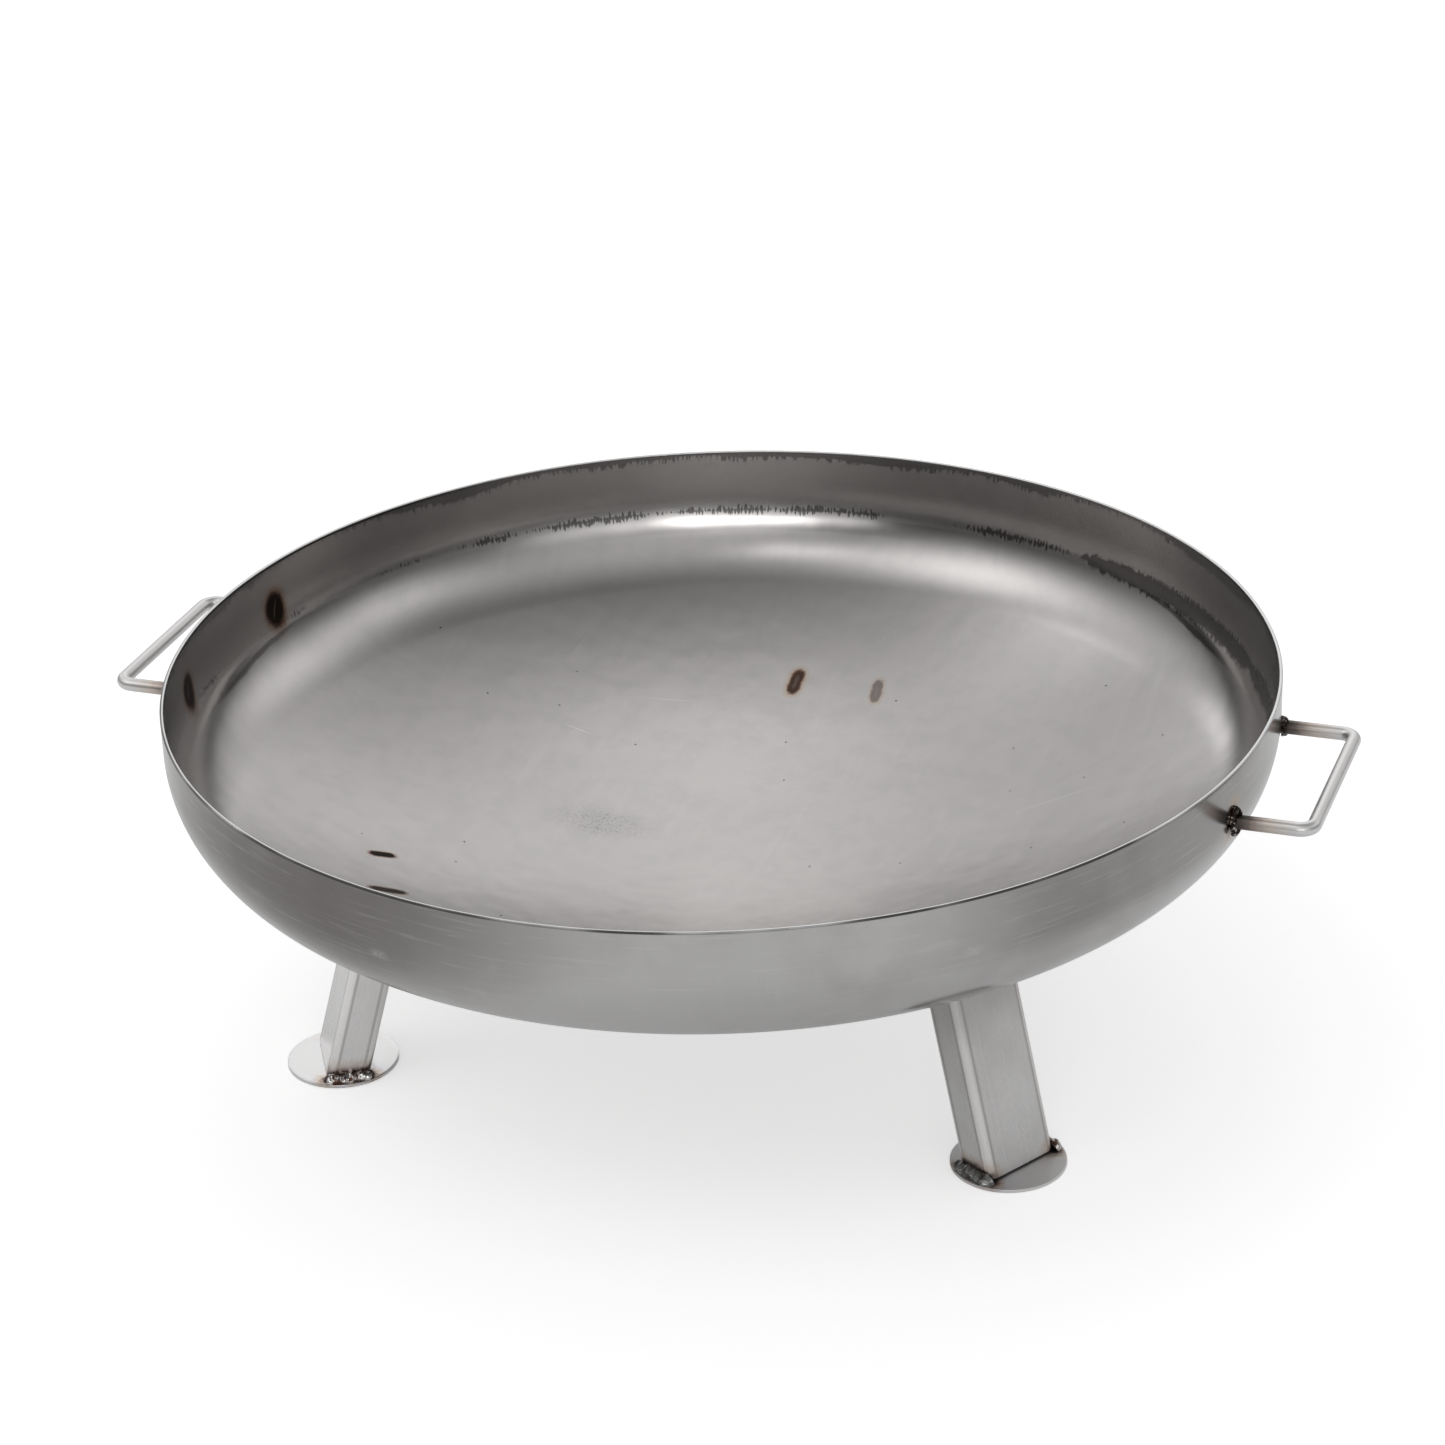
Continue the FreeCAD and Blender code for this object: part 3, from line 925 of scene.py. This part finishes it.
def outside_specks(wire, colour, place, z, angle):
    """Pale smudges, one fleck of scale, a painted shade line just under the rim, and small dark spots."""
    dust = wire.step(wire.noise(place, 620, 3), 0.42, 0.68, 0.25, 1.0)
    for degrees, height in PALE_SMUDGES:
        smudge = turned(degrees, (RIM_RADIUS - 2 * MM, 0, height))
        away = wire.distance(place, smudge, (12 * MM, 12 * MM, 6 * MM))
        pale = wire.times(wire.step(away, 0.0, 1.0, 0.26, 0.0), dust)
        colour = wire.mix(pale, colour, grey(0.80, 0.0))
    away = wire.distance(place, SPECK, (3 * MM, 1.6 * MM, 1.4 * MM))
    colour = wire.mix(wire.step(away, 0.6, 1.1, 0.9, 0.0), colour, grey(0.04, 0.1))
    # Painted shade: a dark line just under the rim's outer corner
    top = wire.step(z, RIM_HEIGHT - 1.7 * MM, RIM_HEIGHT - 1.1 * MM)
    colour = wire.mix(wire.times(top, rim_shade_line(wire, place)), colour, grey(0.05, 0.05))
    away = wire.cells(wire.join(angle, wire.times(z, 2.5), 0.0), 9)[0]
    spot = wire.step(away, 0.012, 0.022, 1.0, 0.0)
    return wire.mix(wire.times(spot, 0.7), colour, grey(0.05, 0.1))


def rim_shade_line(wire, place):
    """How dark the painted shade line along the rim's outer corner is: clearest at the front left."""
    x, y, z = wire.split(place)
    angle = wire.math("ARCTAN2", y, x)
    front = wire.step(y, -0.05, -0.20, 0.25, 1.0)
    broken = wire.noise(wire.join(angle, 7.0, 0.0), 3, 2)
    return wire.times(front, wire.step(broken, 0.40, 0.52, 0.35, 0.95))


# ---- materials

def bowl_inside():
    """Satin sheet with scale on its wall, burnished in a band just below the dashes."""
    wire = steel("bowl_inside")
    place = wire.place()
    x, y, z = wire.split(place)
    plan = wire.join(x, y, 0.0)
    angle = wire.math("ARCTAN2", y, x)
    ticks = wire.noise(wire.join(angle, wire.times(z, 0.5), 0.0), 210, 2)
    colour = sheet_tone(wire, place, 0.45, 0.034)
    mottle = wire.noise(place, 45, 5, 0.65)
    colour = wire.mix(wire.step(mottle, 0.42, 0.66, 0.0, 0.16), colour, grey(0.34, 0.0))
    colour = wall_scale(wire, colour, z, angle)
    colour = rim_scale(wire, colour, x, z, angle, ticks)
    colour = dashes(wire, colour, z, angle, ticks)
    colour = burnt_spots(wire, colour, place)
    colour = scratches(wire, colour, plan)
    colour = pits(wire, colour, plan, z)
    colour = floor_smudge(wire, colour, plan, place)

    uneven = wire.times(wire.noise(place, 14, 3), 0.07)
    rough = wire.plus(uneven, wire.step(z, KNUCKLE_Z - 90 * MM, KNUCKLE_Z - 45 * MM, 0.225, 0.175))
    off_band = wire.math("ABSOLUTE", wire.minus(z, BURNISHED_HEIGHT))
    rough = wire.minus(rough, wire.step(off_band, 3.5 * MM, 7.0 * MM, 0.13, 0.0))
    sooty = wire.step(wire.split(colour)[0], 0.04, 0.16, 0.30, 0.0)
    return wire.dress(colour, wire.plus(rough, sooty), wire.noise(place, 22, 2), 0.35 * MM)


def bowl_outside():
    """Sheet with blotches, painted shade, rubs and the heat colours of the welds."""
    wire = steel("bowl_outside")
    place = wire.place()
    x, y, z = wire.split(place)
    angle = wire.math("ARCTAN2", y, x)
    off_centre = wire.step(z, BOWL_FLOOR + 4 * MM, BOWL_FLOOR + 45 * MM)
    colour = sheet_tone(wire, place, 0.47, 0.012)
    blotch = wire.noise(place, 11, 4, 0.6)
    colour = wire.mix(wire.step(blotch, 0.40, 0.70, 0.0, 0.34), colour, grey(0.33, 0.045))
    # Painted shade: darker reflections at the front left and on the right below the rim
    colour = painted_outside_shade(wire, colour, z, angle, off_centre, blotch)
    colour = outside_rubs(wire, colour, place, z, angle, off_centre)
    colour = tinted_by_welds(wire, colour, place)
    colour = outside_specks(wire, colour, place, z, angle)
    rough = wire.plus(wire.times(wire.noise(place, 16, 4, 0.6), 0.12), 0.135)
    return wire.dress(colour, rough, wire.noise(place, 17, 2), 0.5 * MM)


def rim_steel():
    """The sheared edge of the sheet, left bright, with a painted shade line along its outer corner."""
    wire = steel("rim_edge")
    place = wire.place()
    nicks = wire.noise(place, 90, 3)
    colour = wire.mix(nicks, grey(0.50, 0.01), grey(0.74, 0.0))
    outer = wire.step(wire.stored("radius"), RIM_RADIUS - 1.5 * MM, RIM_RADIUS - 0.9 * MM)
    colour = wire.mix(wire.times(outer, rim_shade_line(wire, place)), colour, grey(0.05, 0.05))
    return wire.dress(colour, wire.step(nicks, 0.3, 0.7, 0.22, 0.38))


def tube_steel(name, tone, painted_top_shade):
    """Cold-drawn tube: lengthwise streaks, a painted highlight along each rounded corner between painted
    shade lines, heat tint at both ends."""
    wire = steel(name)
    place = wire.place()
    skin = wire.stored("skin", "Vector")
    streaks = wire.noise(skin, 1, 3, 0.6, stretch=(180, 5, 1))
    cloud = wire.noise(place, 24, 3)
    colour = wire.mix(streaks, grey(tone * 0.96, 0.015), grey(tone * 1.04, 0.005))
    colour = wire.mix(wire.step(cloud, 0.35, 0.7, 0.0, 0.25), colour, grey(tone * 0.78, 0.03))
    # Painted highlight along the rounded corners, and painted shade lines where they meet the flat faces
    colour = wire.mix(wire.times(wire.stored("painted_corner_highlight"), 0.42), colour, grey(0.88, 0.02))
    line = wire.step(wire.stored("corner_distance"), 0.2 * MM, 1.8 * MM, 0.42, 0.0)
    colour = wire.mix(line, colour, grey(0.15, 0.05))
    # Painted shade: darker towards the top of the tube, standing in for the bowl's dark underside reflected
    # there
    height = wire.plus(wire.split(skin)[1], wire.times(cloud, 0.03))
    colour = wire.mix(wire.step(height, 0.055, 0.135, 0.0, painted_top_shade), colour, grey(0.22, 0.09))
    scuff = wire.noise(skin, 1, 2, stretch=(900, 22, 1))
    colour = wire.mix(wire.step(scuff, 0.68, 0.76, 0.0, 0.2), colour, grey(0.78, 0.0))
    colour = heat_beside(wire, colour, TUBE_TINT)
    return wire.dress(colour, wire.plus(wire.times(streaks, 0.12), 0.22), streaks, 0.01 * MM)


def plate_steel(name, tone, roughness):
    """Plate, pale and satin, with faint temper colours round the weld."""
    wire = steel(name)
    place = wire.place()
    cloud = wire.noise(place, 30, 3)
    grain = wire.noise(place, 900, 2)
    colour = wire.mix(cloud, grey(tone - 0.05, 0.01), grey(tone + 0.05, 0.0))
    colour = wire.mix(wire.times(grain, 0.3), colour, grey(tone - 0.19, 0.01))
    temper = wire.noise(place, 70, 2)
    tint, cover = wire.ramp(temper, [
        (0.36, (0.66, 0.60, 0.50), 0.0), (0.46, (0.66, 0.56, 0.50), 0.5),
        (0.54, (0.58, 0.56, 0.66), 0.5), (0.64, (0.52, 0.60, 0.64), 0.0),
    ])
    close = wire.step(wire.stored("weld_distance"), 6 * MM, 22 * MM, 1.0, 0.0)
    colour = wire.mix(wire.times(cover, close), colour, tint)
    colour = heat_beside(wire, colour, PLATE_TINT)
    return wire.dress(colour, wire.plus(wire.times(cloud, 0.10), roughness), grain, 0.02 * MM)


def bar_steel():
    """Bright drawn bar, blackened where it meets its welds."""
    wire = steel("bar_steel")
    place = wire.place()
    cloud = wire.noise(place, 60, 3)
    grain = wire.noise(place, 1500, 2)
    colour = wire.mix(cloud, grey(0.62, 0.015), grey(0.74, 0.01))
    colour = wire.mix(wire.times(grain, 0.35), colour, grey(0.44, 0.02))
    colour = heat_beside(wire, colour, BAR_TINT)
    return wire.dress(colour, wire.plus(wire.times(cloud, 0.14), 0.28), grain, 0.03 * MM)


def weld_steel(name, bright, dark, share, size=5 * MM, scale_roughness=0.30):
    """Weld metal: bright metal and, over this share of it, dark scale in patches of this size."""
    wire = steel(name)
    place = wire.place()
    patch = wire.noise(place, 1 / size, 4, 0.6)
    scale = wire.step(patch, share - 0.08, share + 0.08, 1.0, 0.0)
    colour = wire.mix(scale, bright, dark)
    rough = wire.step(scale, 0.0, 1.0, 0.16, scale_roughness)
    return wire.dress(colour, rough, wire.noise(place, 700, 3), 0.12 * MM)


# ---- stage, light and camera

FLOOR_HALF = 12.0
FLOOR_GAP = 0.5 * MM


def make_floor():
    """White paper. What the camera sees of it is lifted to a clean white, as in a product photograph."""
    mesh = bpy.data.meshes.new("floor")
    corners = [(x * FLOOR_HALF, y * FLOOR_HALF, 0) for x, y in ((-1, -1), (1, -1), (1, 1), (-1, 1))]
    mesh.from_pydata(corners, [], [(0, 1, 2, 3)])
    wire = Wiring(bpy.data.materials.new("floor_paper"))
    shader = wire.nodes["Principled BSDF"]
    shader.inputs["Base Color"].default_value = (0.80, 0.80, 0.80, 1)
    shader.inputs["Roughness"].default_value = 0.9
    shader.inputs["Specular IOR Level"].default_value = 0.0
    shader.inputs["Emission Color"].default_value = (1, 1, 1, 1)
    seen = wire.nodes.new("ShaderNodeLightPath").outputs["Is Camera Ray"]
    wire.feed(shader.inputs["Emission Strength"], wire.step(seen, 0.0, 1.0, 0.18, 0.50))
    mesh.materials.append(wire.owner)
    floor = bpy.data.objects.new("floor", mesh)
    floor.location.z = -FLOOR_GAP
    scene.collection.objects.link(floor)


def direction(azimuth, elevation):
    """A unit vector; azimuth in degrees from +X towards +Y, elevation above the horizon."""
    a = math.radians(azimuth)
    e = math.radians(elevation)
    return Vector((math.cos(a) * math.cos(e), math.sin(a) * math.cos(e), math.sin(e)))


# Soft light sources round the bowl: azimuth, elevation, spread in degrees, brightness
STUDIO = {
    "backdrop": (104, 25, 20, 1.25),
    "backdrop top": (108, 56, 9, 0.85),
    "backdrop, left end": (140, 19, 6, 1.2),
    "backdrop, right end": (50, 28, 13, 1.05),
    "right wall": (13, 33, 12, 0.8),
    "left wall": (170, 35, 20, 0.75),
    "left wall top": (152, 51, 6, 0.95),
    "front left box": (-143, 48, 15, 1.6),
    "front right box": (-48, 47, 27, 0.7),
    "box over the camera": (-94, 57, 6, 1.1),
    "room behind the camera": (-77, 27, 10, 0.5),
    "far left lamp": (-99, 18, 5, 0.8),
    "left lamp": (-86, 20, 4.5, 2.4),
    "lamp over the camera": (-76, 21, 4, 2.3),
    "lamp behind the camera": (-66, 20, 4.5, 4.0),
    "right lamp": (-52, 19, 6, 0.8),
    "far right lamp": (-37, 18, 7, 0.45),
}
ROOM = 0.03


def make_world():
    """The soft sources over a dark room. The camera itself sees plain white behind everything."""
    world = bpy.data.worlds.new("studio")
    scene.world = world
    wire = Wiring(world)
    way = wire.nodes.new("ShaderNodeTexCoord").outputs["Generated"]
    total = ROOM
    for azimuth, elevation, spread, brightness in STUDIO.values():
        towards = wire.vector("DOT_PRODUCT", way, direction(azimuth, elevation), output="Value")
        tightness = 1 / math.radians(spread) ** 2
        glow = wire.math("EXPONENT", wire.times(wire.minus(towards, 1.0), tightness))
        total = wire.plus(wire.times(glow, brightness), total)
    seen = wire.nodes.new("ShaderNodeLightPath").outputs["Is Camera Ray"]
    background = wire.nodes["Background"]
    wire.feed(background.inputs["Color"], wire.mix(seen, total, (1, 1, 1, 1)))


def make_camera():
    """The camera looks past the bowl's axis by its own azimuth and pitch, with a little roll."""
    data = bpy.data.cameras.new("camera")
    data.lens = CAMERA_LENS
    data.sensor_width = 36.0
    camera = bpy.data.objects.new("camera", data)
    camera.location = direction(CAMERA_AZIMUTH - 90, CAMERA_ELEVATION) * CAMERA_DISTANCE
    turn = Matrix.Rotation(math.radians(CAMERA_AZIMUTH), 3, "Z")
    tip = Matrix.Rotation(math.radians(90 - CAMERA_PITCH), 3, "X")
    roll = Matrix.Rotation(math.radians(CAMERA_ROLL), 3, "Z")
    camera.rotation_euler = (turn @ tip @ roll).to_euler()
    scene.collection.objects.link(camera)
    scene.camera = camera


# ---- the scene

# The left tube's lighter tone and the left plate's darker tone are painted light and shade for how the
# light falls on each; each tube's last number is its painted top shade
tubes = {
    "rear": tube_steel("tube_rear", 0.60, 0.3),
    "left": tube_steel("tube_left", 0.74, 0.1),
    "right": tube_steel("tube_right", 0.60, 0.55),
}
plates = {
    "rear": plate_steel("plate_rear", 0.77, 0.22),
    "left": plate_steel("plate_left", 0.70, 0.12),
    "right": plate_steel("plate_right", 0.77, 0.33),
}
bar = bar_steel()
bright_weld = weld_steel("weld_bright", grey(0.72, 0.02), (0.075, 0.042, 0.03, 1), 0.50)
dull_weld = weld_steel("weld_dull", grey(0.30, 0.0), (0.11, 0.105, 0.10, 1), 0.46)
# On the black handle welds the small bright patches are bare metal and also painted glints
black_weld = weld_steel("weld_black", grey(0.45, 0.03), (0.020, 0.014, 0.012, 1), 0.60, 3 * MM, 0.14)
# The metal of the foot welds that differ, and how lumpy they are
FOOT_WELDS = {
    ("left", "b"): (bright_weld, 1.0 * MM),
    ("right", "a"): (dull_weld, 0.35 * MM),
    ("right", "b"): (bright_weld, 0.6 * MM),
}

# Where the beads' noise starts for the first one, and how far on it is for each of the others
FIRST_SEED = 1.7
SEED_STEP = 11.3
BOWL_BEAD_SEED = 40

make_bowl(bowl_outside(), bowl_inside(), rim_steel())
seed = FIRST_SEED
for place in LEG_ANGLES:
    make_leg(place, tubes[place])
    make_foot_plate(place, plates[place])
    for key, sign in (("a", -1), ("b", 1)):
        metal, lump = FOOT_WELDS.get((place, key), (dull_weld, 0.8 * MM))
        foot_bead(place, key, sign, metal, seed, lump)
        bowl_bead(place, key, sign, dull_weld, seed + BOWL_BEAD_SEED)
        seed += SEED_STEP
for side in HANDLE_ANGLES:
    make_handle(side, bar)
    for key, sign in (("a", -1), ("b", 1)):
        handle_bead(side, key, sign, black_weld, seed)
        seed += SEED_STEP

make_floor()
make_world()
make_camera()
scene.view_settings.view_transform = "Standard"
